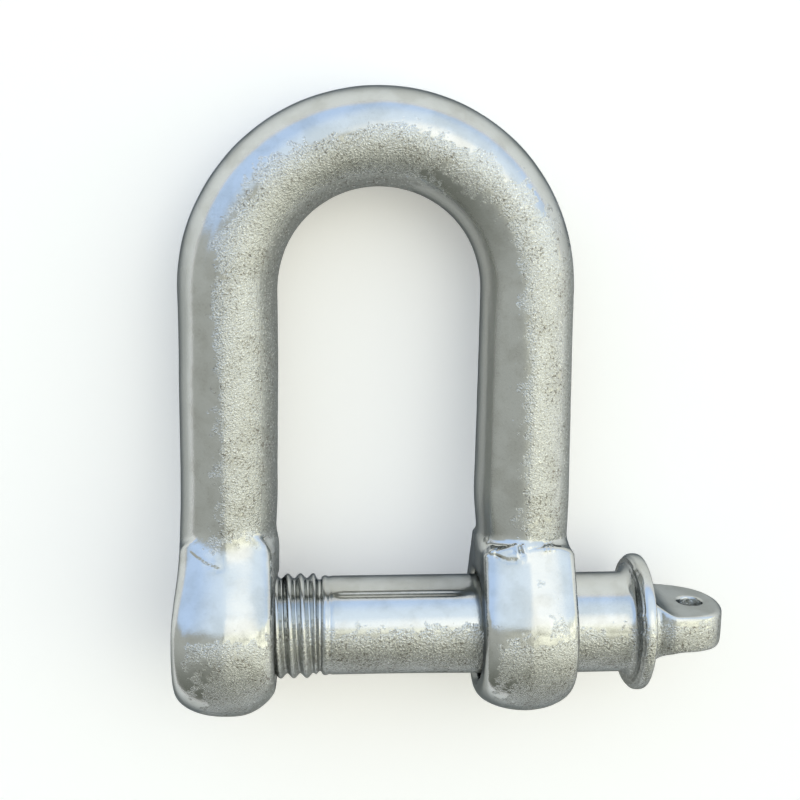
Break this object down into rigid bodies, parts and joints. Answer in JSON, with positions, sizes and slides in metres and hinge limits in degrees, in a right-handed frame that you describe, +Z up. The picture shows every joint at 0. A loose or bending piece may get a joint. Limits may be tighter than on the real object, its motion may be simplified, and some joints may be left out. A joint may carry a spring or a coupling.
{
  "type": "chain joining shackle",
  "caption": "Forged galvanised dee shackle for joining chain, with a screw pin that has a collar and a flat drilled tab, shown partly unscrewed.",
  "frame": {"origin": "middle of the footprint, on the surface that the shackle lies on", "axes": "+X along the screw pin from its thread to its tab, +Y from the pin towards the crown of the bow, +Z up as the shackle lies on the rims of its eyes and its crown"},
  "size_m": [0.1066, 0.1189, 0.034],
  "materials": {
    "galvanised_bow": "hot dip galvanised, silvery with a fine zinc grain",
    "galvanised_pin": "hot dip galvanised, silvery with a coarse zinc grain"
  },
  "bodies": {
    "bow": {"shackle_body": "galvanised_bow"},
    "pin": {"screw_pin": "galvanised_pin"}
  },
  "joints": [
    {"name": "pin_slide", "type": "slide", "parent": "bow", "child": "pin", "axis": [1, 0, 0], "range_m": [-0.0124, 0.063]}
  ]
}
